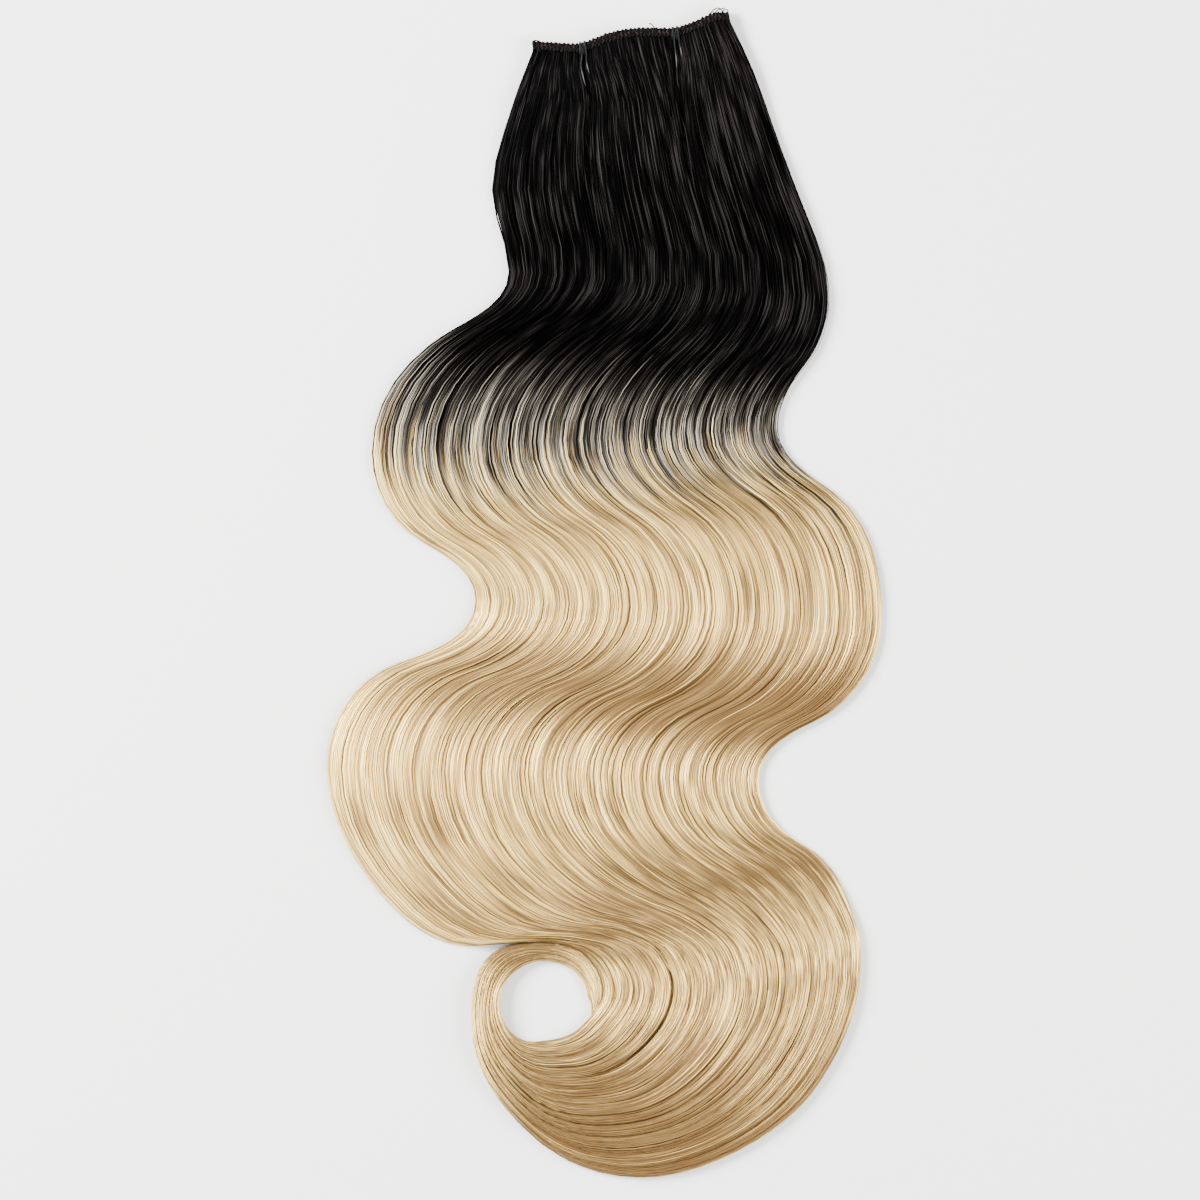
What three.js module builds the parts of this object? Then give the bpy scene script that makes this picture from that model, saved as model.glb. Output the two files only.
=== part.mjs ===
import * as THREE from 'three';

// A clip in hair extension, lying on a flat surface with its waves and end curl laid out.
// X runs across the weft, +Y points to the weft and Z is up from the surface, in millimetres.
// The origin is on the surface, under the middle of the whole piece.

// Driving sizes
const fallWidth = 217.6; // widest spread of the laid out waves
const fallLength = 454.4; // from the high corner of the weft to the foot of the curl
const fallThickness = 7; // hair in the middle of the spread
const edgeThickness = 1.6; // hair at its two long edges
const lockCount = 11; // locks side by side across the fall
const lockRelief = 1.3; // depth of the groove between two locks
const weftHeight = 3.4; // sewn band, measured down the fall
const weftThickness = 2.2;
const clipLength = 30; // along the weft
const clipBarWidth = 4.6;
const clipThickness = 1.8;
const clipTuck = 1.5; // from the upper edge of the weft down to the clip's bar
const toothLength = 8;
const toothWidth = 1.7;
const toothCount = 7;
const sewingHole = 1.1; // diameter
const cordDiameter = 1.1; // elastic loop
const loopSpacing = 1.8; // between the middles of a loop's two legs
const drapeStart = 4; // the hair leaves the height of the clips this far past their teeth
const drapeLength = 22; // and is down on the surface after this much more
const clearance = 0.3; // between neighbouring pieces

// Fineness of the faceted surfaces
const stepsPerBend = 4;
const columnsPerLock = 3;
const weftSteps = 40;
const cordSides = 8;
const cordSteps = 50;
const roundSegments = 3;

const table = (columns, rows) =>
  rows.map((row) => Object.fromEntries(columns.map((name, index) => [name, row[index]])));

// The bends of the hair from the weft to the tip, which makes a whole turn round the curl's eye.
// Across is a share of fallWidth from the middle, down a share of fallLength from the top.
// Turn is the heading there in degrees, 0 straight down and positive to the right.
// Thick is a share of fallThickness.
const bends = table(
  ['place', 'leftAcross', 'leftDown', 'leftTurn', 'rightAcross', 'rightDown', 'rightTurn', 'thick'],
  [
    ['weft', -0.127, 0.034, -20, 0.226, 0.0095, 27, 0.32],
    ['root', -0.165, 0.08, -19, 0.289, 0.0755, 22, 0.6],
    ['first_bulge', -0.2025, 0.153, 0, 0.351, 0.153, 21, 0.86],
    ['first_crest', -0.172, 0.223, 0, 0.407, 0.2455, 0, 0.98],
    ['first_slope', -0.276, 0.274, -60, 0.362, 0.3055, -40, 0.9],
    ['second_bulge', -0.4175, 0.378, 0, 0.3135, 0.357, 0, 0.86],
    ['second_slope', -0.3225, 0.456, 62, 0.412, 0.412, 54, 0.94],
    ['second_crest', -0.231, 0.505, 0, 0.5, 0.5175, 0, 1],
    ['third_slope', -0.364, 0.558, -72, 0.376, 0.6095, -66, 0.9],
    ['third_bulge', -0.5, 0.649, 0, 0.278, 0.659, 0, 0.86],
    ['sweep', -0.434, 0.738, 36, 0.319, 0.7015, 47, 0.9],
    ['fourth_slope', -0.24, 0.8015, 91, 0.391, 0.726, 46, 0.92],
    ['lip', -0.1237, 0.798, 88, 0.4427, 0.765, 24, 0.9],
    ['over_eye', -0.0287, 0.811, 45, 0.466, 0.805, 2, 0.88],
    ['east', 0, 0.841, 0, 0.4625, 0.835, -6, 0.82],
    ['south_east', -0.0376, 0.8745, -47, 0.398, 0.914, -32, 0.82],
    ['south', -0.1057, 0.885, -90, 0.1756, 0.9925, -70, 0.9],
    ['south_west', -0.165, 0.877, -135, -0.122, 0.967, -131, 1],
    ['west', -0.188, 0.8498, -180, -0.2366, 0.871, -178, 1],
    ['north_west', -0.166, 0.8258, -225, -0.2115, 0.8155, -222, 0.72],
    ['north', -0.1057, 0.8137, -270, -0.1362, 0.8008, -266, 0.46],
    ['north_east', -0.0484, 0.8249, -316, -0.038, 0.812, -314, 0.34],
    ['inner_east', -0.0305, 0.8463, -360, -0.0085, 0.841, -360, 0.26],
    ['tip', -0.0412, 0.867, -385, -0.0335, 0.8687, -388, 0.23],
  ],
);

// The scalloped edge of the weft: along is a share of the weft's span from its left end, rise a
// share of the same span above the straight line between its ends.
const scallops = table(
  ['along', 'rise'],
  [
    [0, 0],
    [0.12, -0.025],
    [0.24, -0.045],
    [0.39, -0.014],
    [0.52, -0.01],
    [0.64, -0.026],
    [0.72, -0.037],
    [0.83, -0.017],
    [0.93, 0.011],
    [1, 0],
  ],
);

// The hair parts under the weft at two grooves, which gather and spread on their way down.
// Left and right are shares across the fall, and by first_slope the grooves are home again.
const leftGroove = Math.round(0.27 * lockCount);
const rightGroove = Math.round(0.64 * lockCount);
const gathers = table(
  ['place', 'left', 'right'],
  [
    ['weft', 0.25, 0.72],
    ['root', 0.315, 0.672],
    ['first_bulge', 0.34, 0.675],
    ['first_slope', leftGroove / lockCount, rightGroove / lockCount],
  ],
);

// Deeper stretches of chosen grooves. Extra is a share of lockRelief.
const partings = table(
  ['groove', 'from', 'to', 'extra'],
  [
    [leftGroove, 'weft', 'first_bulge', 0.9],
    [rightGroove, 'weft', 'first_bulge', 0.9],
    [leftGroove, 'over_eye', 'south', 1.2],
  ],
);

// An elastic loop sits over each of the two partings. Its legs run down the hair by the two
// reaches, in millimetres.
const loops = table(
  ['side', 'groove', 'longReach', 'shortReach'],
  [
    ['left', leftGroove, 13.3, 8.6],
    ['right', rightGroove, 12.1, 7.4],
  ],
);

const degrees = Math.PI / 180;
const plan = (across, down) => new THREE.Vector2(across * fallWidth, (0.5 - down) * fallLength);
const mix = (start, end, share) => start + (end - start) * share;
const smooth = (from, to, value) => THREE.MathUtils.smoothstep(value, from, to);
const bendNumber = (place) => bends.findIndex((bend) => bend.place === place);
const lastBend = bends.length - 1;

// A value of a table whose rows name bends, blended smoothly between them.
function along(rows, column, place) {
  const numbers = rows.map((row) => bendNumber(row.place));
  const next = numbers.findIndex((number) => number > place);
  if (next < 0) return rows.at(-1)[column];
  const share = smooth(numbers[next - 1], numbers[next], place);
  return mix(rows[next - 1][column], rows[next][column], share);
}

// The straight line between the two ends of the weft's lower edge, and up from it.
const weftLeft = plan(bends[0].leftAcross, bends[0].leftDown);
const weftRight = plan(bends[0].rightAcross, bends[0].rightDown);
const weftSpan = weftLeft.distanceTo(weftRight);
const weftAlong = weftRight.clone().sub(weftLeft).normalize();
const weftUp = new THREE.Vector2(-weftAlong.y, weftAlong.x);

const scallopCurve = new THREE.SplineCurve(
  scallops.map((row) => new THREE.Vector2(row.along, row.rise)),
);
const scallopPoints = scallopCurve.getPoints(weftSteps * 3);

// Height of the scalloped edge over the straight line.
function scallopRise(across) {
  const next = Math.max(1, scallopPoints.findIndex((point) => point.x >= across - 1e-9));
  const [before, after] = [scallopPoints[next - 1], scallopPoints[next]];
  const share = (across - before.x) / (after.x - before.x);
  return mix(before.y, after.y, share) * weftSpan;
}

function weftPoint(across, up) {
  const point = weftLeft.clone().addScaledVector(weftAlong, across * weftSpan);
  return point.addScaledVector(weftUp, scallopRise(across) + up);
}

// Moves a place across the fall with the gathering of the two top partings.
function gathered(across, place) {
  const home = [0, leftGroove / lockCount, rightGroove / lockCount, 1];
  const now = [0, along(gathers, 'left', place), along(gathers, 'right', place), 1];
  const next = across <= home[1] ? 1 : across <= home[2] ? 2 : 3;
  const share = (across - home[next - 1]) / (home[next] - home[next - 1]);
  return mix(now[next - 1], now[next], share);
}

// Where a strand passes a bend, and its heading there.
function bendAt(bend, across) {
  const turn = mix(bend.leftTurn, bend.rightTurn, across) * degrees;
  return {
    point: plan(
      mix(bend.leftAcross, bend.rightAcross, across),
      mix(bend.leftDown, bend.rightDown, across),
    ),
    heading: new THREE.Vector2(Math.sin(turn), -Math.cos(turn)),
    turn,
  };
}

// The plan position of a strand. Place counts bends from the weft, so 2.5 is half way from
// first_bulge to first_crest. The strand passes each bend at that bend's heading, and between
// two bends it swings round like an arc.
function strandPoint(strand, place) {
  const across = gathered(strand, place);
  const first = Math.min(Math.floor(place), lastBend - 1);
  const t = place - first;
  const [start, end] = [bendAt(bends[first], across), bendAt(bends[first + 1], across)];
  const swing = Math.max(Math.abs(end.turn - start.turn), 0.01);
  const pull = (2 * Math.tan(swing / 4)) / Math.sin(swing / 2);
  const reach = pull * start.point.distanceTo(end.point);
  const point = start.point.clone().multiplyScalar(1 - 3 * t ** 2 + 2 * t ** 3);
  point.addScaledVector(end.point, 3 * t ** 2 - 2 * t ** 3);
  point.addScaledVector(start.heading, reach * (t - 2 * t ** 2 + t ** 3));
  point.addScaledVector(end.heading, reach * (t ** 3 - t ** 2));
  return point.addScaledVector(weftUp, scallopRise(across) * (1 - smooth(0, 1.6, place)));
}

// The groove on the left side of a lock, as a share across the fall. It wanders on its way down.
const wander = { amount: 0.25, start: 0.18, perLock: 1.51, perBend: 0.35, fullAfter: 2.5 };
function grooveAt(groove, place) {
  if (groove === 0 || groove === lockCount) return groove / lockCount;
  const phase = wander.start + wander.perLock * groove + wander.perBend * place;
  const amount = wander.amount * smooth(0, wander.fullAfter, place);
  return (groove + amount * Math.sin(phase)) / lockCount;
}

const acrossLock = (lock, part, place) => mix(grooveAt(lock, place), grooveAt(lock + 1, place), part);

function grooveDepth(groove, place) {
  const extras = partings
    .filter((parting) => parting.groove === groove)
    .map((parting) => {
      const [from, to] = [bendNumber(parting.from), bendNumber(parting.to)];
      return parting.extra * smooth(from - 1, from, place) * (1 - smooth(to - 0.6, to, place));
    });
  return lockRelief * (1 + Math.max(0, ...extras));
}

// The roots lie on the clips, and the hair comes down to the surface past their teeth.
const clipTop = clearance + weftHeight - clipTuck;
const clipFoot = clipTop - clipBarWidth - toothLength;
const tieAcross = (groove) => gathered(groove / lockCount, 0);
const tieRise = Math.min(...loops.map((loop) => scallopRise(tieAcross(loop.groove))));
const weftFloor = clipThickness + clearance;
const cordRadius = cordDiameter / 2;

function undersideAt(point) {
  const up = point.clone().sub(weftLeft).dot(weftUp);
  const drapeTop = tieRise + clipFoot - drapeStart;
  return weftFloor * smooth(drapeTop - drapeLength, drapeTop, up);
}

// The height of the hair's top. Part runs from 0 to 1 between the lock's two grooves.
function topHeight(lock, part, place) {
  const across = acrossLock(lock, part, place);
  const full = fallThickness * along(bends, 'thick', place);
  const edge = Math.min(edgeThickness, full * 0.7);
  const crown = Math.sqrt(1 - Math.abs(2 * across - 1) ** 4);
  const groove = part < 0.5 ? lock : lock + 1;
  const valley = (1 - Math.sin(Math.PI * part)) ** 1.4 * crown * Math.min(1, full / fallThickness);
  const body = mix(edge, full, crown) - grooveDepth(groove, place) * valley;
  return undersideAt(strandPoint(across, place)) + Math.max(body, edge * 0.6);
}

// A closed skin over rings of points. Each ring runs counter clockwise, seen from the first
// ring towards the last. The cap triangles count points of a ring, in the same sense.
function loft(rings, capTriangles) {
  const count = rings[0].length;
  const index = [];
  for (let ring = 0; ring < rings.length - 1; ring += 1) {
    for (let side = 0; side < count; side += 1) {
      const a = ring * count + side;
      const b = ring * count + ((side + 1) % count);
      index.push(a, a + count, b + count, a, b + count, b);
    }
  }
  const lastRing = (rings.length - 1) * count;
  for (const [a, b, c] of capTriangles) index.push(a, b, c, lastRing + a, lastRing + c, lastRing + b);
  const positions = rings.flat().flatMap((point) => point.toArray());
  const geometry = new THREE.BufferGeometry();
  geometry.setAttribute('position', new THREE.Float32BufferAttribute(positions, 3));
  geometry.setIndex(index);
  geometry.computeVertexNormals();
  return geometry;
}

const fanCap = (count) => Array.from({ length: count - 2 }, (_, corner) => [0, corner + 1, corner + 2]);

// The hair: one body of locks, from the weft round the curl to the tip. A ring crosses it over
// the tops of the locks from left to right and comes back along the flat underside.
function hairFall() {
  const topColumns = lockCount * columnsPerLock;
  const rings = [];
  for (let row = 0; row <= lastBend * stepsPerBend; row += 1) {
    const place = row / stepsPerBend;
    const ring = [];
    for (let column = 0; column <= topColumns; column += 1) {
      const lock = Math.min(Math.floor(column / columnsPerLock), lockCount - 1);
      const part = column / columnsPerLock - lock;
      const point = strandPoint(acrossLock(lock, part, place), place);
      ring.push(new THREE.Vector3(point.x, point.y, topHeight(lock, part, place)));
    }
    for (let groove = lockCount; groove >= 0; groove -= 1) {
      const point = strandPoint(grooveAt(groove, place), place);
      ring.push(new THREE.Vector3(point.x, point.y, undersideAt(point)));
    }
    rings.push(ring);
  }
  const cap = [];
  for (let column = 0; column < topColumns; column += 1) {
    const below = topColumns + 1 + lockCount - Math.floor(column / columnsPerLock);
    cap.push([column, column + 1, below]);
    if ((column + 1) % columnsPerLock === 0) cap.push([column + 1, below - 1, below]);
  }
  return loft(rings, cap);
}

// The sewn band: a flat bar with a rounded upper edge, which follows the scallops. Up is a
// share of weftHeight, height a share of weftThickness.
const bandSection = table(
  ['up', 'height'],
  [
    [0, 0.16],
    [0, 0.84],
    [0.3, 1],
    [0.72, 1],
    [0.94, 0.82],
    [1, 0.5],
    [0.94, 0.18],
    [0.72, 0],
    [0.3, 0],
  ],
);

function weftBand() {
  const rings = Array.from({ length: weftSteps + 1 }, (_, step) =>
    bandSection.map((corner) => {
      const point = weftPoint(step / weftSteps, clearance + corner.up * weftHeight);
      return new THREE.Vector3(point.x, point.y, weftFloor + corner.height * weftThickness);
    }),
  );
  return loft(rings, fanCap(bandSection.length));
}

// A plain comb clip: a bar with sewing holes and a row of tapering teeth, in its own frame with
// the middle of the bar's upper edge at the origin.
function combClip() {
  const half = clipLength / 2;
  const corner = clipBarWidth * 0.3;
  const pitch = (clipLength - toothWidth - 2 * corner) / (toothCount - 1);
  const tip = toothWidth * 0.35;
  const outline = new THREE.Shape();
  outline.moveTo(half, -corner);
  outline.absarc(half - corner, -corner, corner, 0, 90 * degrees, false);
  outline.absarc(corner - half, -corner, corner, 90 * degrees, 180 * degrees, false);
  outline.absarc(corner - half, corner - clipBarWidth, corner, 180 * degrees, 270 * degrees, false);
  for (let tooth = 0; tooth < toothCount; tooth += 1) {
    const middle = corner - half + toothWidth / 2 + tooth * pitch;
    outline.lineTo(middle - toothWidth / 2 + 0.01, -clipBarWidth);
    outline.lineTo(middle - tip, tip - clipBarWidth - toothLength);
    outline.absarc(middle, tip - clipBarWidth - toothLength, tip, 180 * degrees, 360 * degrees, false);
    outline.lineTo(middle + toothWidth / 2 - 0.01, -clipBarWidth);
  }
  outline.absarc(half - corner, corner - clipBarWidth, corner, 270 * degrees, 360 * degrees, false);
  for (const place of [-0.8, -0.4, 0.4, 0.8]) {
    const hole = new THREE.Path();
    hole.absarc(place * (half - corner), -clipBarWidth / 2, sewingHole / 2, 0, 360 * degrees, true);
    outline.holes.push(hole);
  }
  return new THREE.ExtrudeGeometry(outline, {
    depth: clipThickness,
    bevelEnabled: false,
    curveSegments: roundSegments,
  });
}

// Where a leg's points lie on the hair, as shares of its reach.
const legShares = [1, 0.66, 0.36];

// The cord of a loop: up one leg on the hair, over the weft, round at the clip's bar behind it
// and back over the weft to the other leg.
function loopRoute(loop) {
  const tie = tieAcross(loop.groove);
  const firstBend = strandPoint(loop.groove / lockCount, 0).distanceTo(
    strandPoint(loop.groove / lockCount, 1),
  );
  const rise = clearance + cordRadius;
  const onHair = (side, reach) => {
    const place = reach / firstBend;
    const aside = ((side * loopSpacing) / 2 / weftSpan) * (1 + place * 0.5);
    const across = loop.groove / lockCount + aside;
    const part = Math.abs(aside) * lockCount;
    const lock = side < 0 ? loop.groove - 1 : loop.groove;
    const height = topHeight(lock, side < 0 ? 1 - part : part, place) + rise;
    const point = strandPoint(across, place);
    return new THREE.Vector3(point.x, point.y, height);
  };
  const overWeft = (side, up, height) => {
    const point = weftPoint(tie + (side * loopSpacing) / 2 / weftSpan, up);
    return new THREE.Vector3(point.x, point.y, height);
  };
  const front = weftFloor + weftThickness + rise;
  const top = clearance + weftHeight + rise;
  const back = clipThickness / 2;
  // From the free end up the hair, then over the weft's front, its upper edge and its back.
  const leg = (side, reach) => [
    ...legShares.map((share) => onHair(side, reach * share)),
    overWeft(side, -cordDiameter, front - cordDiameter * 0.3),
    overWeft(side, clearance + weftHeight * 0.2, front),
    overWeft(side, clearance + weftHeight * 0.75, front),
    overWeft(side, top, weftFloor + weftThickness * 0.6),
    overWeft(side, top - cordDiameter * 0.2, weftFloor - cordRadius),
    overWeft(side, mix(clipTop + rise, top, 0.55), back),
  ];
  const turn = overWeft(0, clipTop + rise, back);
  return [...leg(-1, loop.longReach), turn, ...leg(1, loop.shortReach).reverse()];
}

function elasticLoop(loop) {
  const section = new THREE.Shape(
    Array.from({ length: cordSides }, (_, side) => {
      const angle = (side / cordSides) * 360 * degrees;
      return new THREE.Vector2(cordRadius * Math.cos(angle), cordRadius * Math.sin(angle));
    }),
  );
  return new THREE.ExtrudeGeometry(section, {
    steps: cordSteps,
    extrudePath: new THREE.CatmullRomCurve3(loopRoute(loop)),
    curveSegments: 1,
  });
}

const hairFinish = { color: 0xcdb48a, roughness: 0.45, metalness: 0 };
const weftFinish = { color: 0x1b1513, roughness: 0.8, metalness: 0 };
const clipFinish = { color: 0x17130f, roughness: 0.4, metalness: 0.6 };
const cordFinish = { color: 0x2b2a2c, roughness: 0.25, metalness: 0 };

function piece(name, geometry, finish) {
  const mesh = new THREE.Mesh(geometry, new THREE.MeshStandardMaterial(finish));
  mesh.name = name;
  return mesh;
}

const extension = new THREE.Group();
extension.add(piece('hair_fall', hairFall(), hairFinish));
extension.add(piece('weft_band', weftBand(), weftFinish));
for (const loop of loops) {
  const clip = piece(`clip_${loop.side}`, combClip(), clipFinish);
  const seat = weftPoint(tieAcross(loop.groove), clipTop);
  clip.position.set(seat.x, seat.y, 0);
  clip.rotation.z = weftAlong.angle();
  extension.add(clip);
  extension.add(piece(`elastic_loop_${loop.side}`, elasticLoop(loop), cordFinish));
}

// Centres the whole piece over the origin.
const middle = new THREE.Box3().setFromObject(extension).getCenter(new THREE.Vector3());
extension.position.set(-middle.x, -middle.y, 0);

export default extension;
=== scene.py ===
import bpy
import numpy as np
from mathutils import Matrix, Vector


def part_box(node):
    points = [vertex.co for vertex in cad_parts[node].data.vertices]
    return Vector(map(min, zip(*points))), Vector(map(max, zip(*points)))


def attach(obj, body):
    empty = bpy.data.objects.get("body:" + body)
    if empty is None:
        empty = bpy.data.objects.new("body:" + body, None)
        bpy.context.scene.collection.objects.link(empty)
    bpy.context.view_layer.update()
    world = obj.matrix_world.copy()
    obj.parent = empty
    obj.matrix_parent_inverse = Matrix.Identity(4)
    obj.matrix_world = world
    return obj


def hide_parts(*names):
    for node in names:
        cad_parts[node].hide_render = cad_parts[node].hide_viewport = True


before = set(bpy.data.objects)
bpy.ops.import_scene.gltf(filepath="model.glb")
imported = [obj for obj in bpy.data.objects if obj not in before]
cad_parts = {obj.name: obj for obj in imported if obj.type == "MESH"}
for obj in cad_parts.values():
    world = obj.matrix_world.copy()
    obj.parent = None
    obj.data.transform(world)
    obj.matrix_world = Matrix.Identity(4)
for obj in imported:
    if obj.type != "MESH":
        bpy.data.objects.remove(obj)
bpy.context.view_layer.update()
rng = np.random.default_rng(24)
print("frame loaded, nodes:", ", ".join(sorted(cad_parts)))


# the plan that every piece follows, in metres, with the same shares as the solids
plan = {
    "fallLength": 0.4544,
    "fallThickness": 0.007,
    "edgeThickness": 0.0016,
    "lockCount": 11,
    "lockRelief": 0.0013,
    "weftHeight": 0.0034,
    "weftThickness": 0.0022,
    "clipThickness": 0.0018,
    "clipBarWidth": 0.0046,
    "clipTuck": 0.0015,
    "toothLength": 0.008,
    "cordDiameter": 0.0011,
    "loopSpacing": 0.0018,
    "drapeStart": 0.004,
    "drapeLength": 0.022,
    "clearance": 0.0003,
}

# left across, left down, left turn, right across, right down, right turn, thick
bends = {
    "weft": (-0.127, 0.034, -20, 0.226, 0.0095, 27, 0.32),
    "root": (-0.165, 0.08, -19, 0.289, 0.0755, 22, 0.6),
    "firstBulge": (-0.2025, 0.153, 0, 0.351, 0.153, 21, 0.86),
    "firstCrest": (-0.172, 0.223, 0, 0.407, 0.2455, 0, 0.98),
    "firstSlope": (-0.276, 0.274, -60, 0.362, 0.3055, -40, 0.9),
    "secondBulge": (-0.4175, 0.378, 0, 0.3135, 0.357, 0, 0.86),
    "secondSlope": (-0.3225, 0.456, 62, 0.412, 0.412, 54, 0.94),
    "secondCrest": (-0.231, 0.505, 0, 0.5, 0.5175, 0, 1),
    "thirdSlope": (-0.364, 0.558, -72, 0.376, 0.6095, -66, 0.9),
    "thirdBulge": (-0.5, 0.649, 0, 0.278, 0.659, 0, 0.86),
    "sweep": (-0.434, 0.738, 36, 0.319, 0.7015, 47, 0.9),
    "fourthSlope": (-0.24, 0.8015, 91, 0.391, 0.726, 46, 0.92),
    "lip": (-0.1237, 0.798, 88, 0.4427, 0.765, 24, 0.9),
    "overEye": (-0.0287, 0.811, 45, 0.466, 0.805, 2, 0.88),
    "east": (0, 0.841, 0, 0.4625, 0.835, -6, 0.82),
    "southEast": (-0.0376, 0.8745, -47, 0.398, 0.914, -32, 0.82),
    "south": (-0.1057, 0.885, -90, 0.1756, 0.9925, -70, 0.9),
    "southWest": (-0.165, 0.877, -135, -0.122, 0.967, -131, 1),
    "west": (-0.188, 0.8498, -180, -0.2366, 0.871, -178, 1),
    "northWest": (-0.166, 0.8258, -225, -0.2115, 0.8155, -222, 0.72),
    "north": (-0.1057, 0.8137, -270, -0.1362, 0.8008, -266, 0.46),
    "northEast": (-0.0484, 0.8249, -316, -0.038, 0.812, -314, 0.34),
    "innerEast": (-0.0305, 0.8463, -360, -0.0085, 0.841, -360, 0.26),
    "tip": (-0.0412, 0.867, -385, -0.0335, 0.8687, -388, 0.23),
}
bendTable = np.array(list(bends.values()), float)
bendNumber = {name: number for number, name in enumerate(bends)}
lastBend = len(bends) - 1

# along the weft, rise, both as shares of its span
scallops = np.array([
    (0, 0), (0.12, -0.025), (0.24, -0.045), (0.39, -0.014), (0.52, -0.01),
    (0.64, -0.026), (0.72, -0.037), (0.83, -0.017), (0.93, 0.011), (1, 0),
])

leftGroove = round(0.27 * plan["lockCount"])
rightGroove = round(0.64 * plan["lockCount"])
homes = (leftGroove / plan["lockCount"], rightGroove / plan["lockCount"])
# where the two top partings run: bend, left share, right share
gathers = [
    ("weft", 0.25, 0.72),
    ("root", 0.315, 0.672),
    ("firstBulge", 0.34, 0.675),
    ("firstSlope", homes[0], homes[1]),
]
# deeper stretches of grooves: groove, from, to, extra as a share of lockRelief
partings = [
    (leftGroove, "weft", "firstBulge", 0.9),
    (rightGroove, "weft", "firstBulge", 0.9),
    (leftGroove, "overEye", "south", 1.2),
]
# how far strands stand aside from a parting that starts at the named bend
partingPush = {"weft": 0.009, "overEye": 0.0045, "reach": 0.012}
wander = {"amount": 0.25, "start": 0.18, "perLock": 1.51, "perBend": 0.35, "fullAfter": 2.5}


def mix(start, end, share):
    return start + (end - start) * share


def smooth(low, high, value):
    share = np.clip((value - low) / (high - low), 0, 1)
    return share * share * (3 - 2 * share)


def between(value, start, full, until, end):
    # 1 from full to until, and 0 before start and after end
    return smooth(start, full, value) * (1 - smooth(until, end, value))


def bendAt(place):
    # the last bend above a place, and how far past it the place is
    place = np.clip(place, 0, lastBend)
    first = np.minimum(np.floor(place).astype(int), lastBend - 1)
    return first, place - first


hairLow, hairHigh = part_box("hair_fall")
fallWidth = hairHigh.x - hairLow.x
shiftY = 0.0  # set below from the frame, so that the plan lies where the solids lie


def planPoint(across, down):
    return np.stack([across * fallWidth, (0.5 - down) * plan["fallLength"] + shiftY], -1)


def weftLine():
    left = planPoint(bendTable[0, 0], bendTable[0, 1])
    right = planPoint(bendTable[0, 3], bendTable[0, 4])
    span = np.linalg.norm(right - left)
    way = (right - left) / span
    return left, span, way, np.array([-way[1], way[0]])


def splineThrough(points, steps):
    points = np.asarray(points, float)
    padded = np.vstack([points[:1], points, points[-1:]])
    t = np.linspace(0, 1, steps, endpoint=False)[:, None]
    fine = []
    for a, b, c, d in zip(padded, padded[1:], padded[2:], padded[3:]):
        fine.append(b + 0.5 * t * (c - a + t * (2 * a - 5 * b + 4 * c - d + t * (3 * (b - c) + d - a))))
    return np.vstack(fine + [points[-1:]])


scallopCurve = splineThrough(scallops, 24)


def scallopRise(across):
    return np.interp(across, scallopCurve[:, 0], scallopCurve[:, 1])


def weftPoint(across, up):
    left, span, way, high = weftLine()
    across, up = np.broadcast_arrays(np.asarray(across, float), np.asarray(up, float))
    return left + across[..., None] * span * way + (scallopRise(across) * span + up)[..., None] * high


def gathered(across, place):
    # moves a share across the fall with the two top partings
    rows = [bendNumber[row[0]] for row in gathers]
    sides = []
    for column in (1, 2):
        value = np.full(np.shape(place), float(gathers[-1][column]))
        for low, high, first, second in zip(rows, rows[1:], gathers, gathers[1:]):
            here = (place >= low) & (place < high)
            value = np.where(here, mix(first[column], second[column], smooth(low, high, place)), value)
        sides.append(np.where(place < 0, gathers[0][column], value))
    left, right = sides
    inLeft = across / homes[0] * left
    inMiddle = left + (across - homes[0]) / (homes[1] - homes[0]) * (right - left)
    inRight = right + (across - homes[1]) / (1 - homes[1]) * (1 - right)
    return np.where(across < homes[0], inLeft, np.where(across < homes[1], inMiddle, inRight))


def strandPoint(strand, place):
    # plan position of a strand, whose heading is that of each bend it passes
    across = gathered(strand, place)
    first, t = bendAt(place)
    ends = []
    for row in (bendTable[first], bendTable[first + 1]):
        point = planPoint(mix(row[..., 0], row[..., 3], across), mix(row[..., 1], row[..., 4], across))
        turn = np.radians(mix(row[..., 2], row[..., 5], across))
        ends.append((point, np.stack([np.sin(turn), -np.cos(turn)], -1), turn))
    (start, leave, turnStart), (end, meet, turnEnd) = ends
    swing = np.maximum(np.abs(turnEnd - turnStart), 0.01)
    reach = 2 * np.tan(swing / 4) / np.sin(swing / 2) * np.linalg.norm(end - start, axis=-1)
    t, reach = t[..., None], reach[..., None]
    point = start * (1 - 3 * t**2 + 2 * t**3) + end * (3 * t**2 - 2 * t**3)
    point = point + reach * (leave * (t - 2 * t**2 + t**3) + meet * (t**3 - t**2))
    _, span, _, high = weftLine()
    lift = scallopRise(across) * span * (1 - smooth(0, 1.6, t[..., 0] + first))
    return point + lift[..., None] * high


# near the tip the strands spread outwards against the fall, and the tip narrows to its outer side
ring = {"from": 18.4, "full": 19.6, "reach": 0.0014, "tipFrom": 21.8, "tipShare": 0.85}
# beside the eye the hair reaches a little further into it
eyeSide = {"bends": (13.9, 14.8, 15.6, 16.6), "reach": 0.022, "share": 0.25}
# the loose edges draw in a little from the edges of the solid: how far, and over which bends
drawnIn = {"left": (0.0009, (0.4, 1.6, 10, 12)), "right": (0.0013, (0.4, 1.6, 16, 17))}


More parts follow.
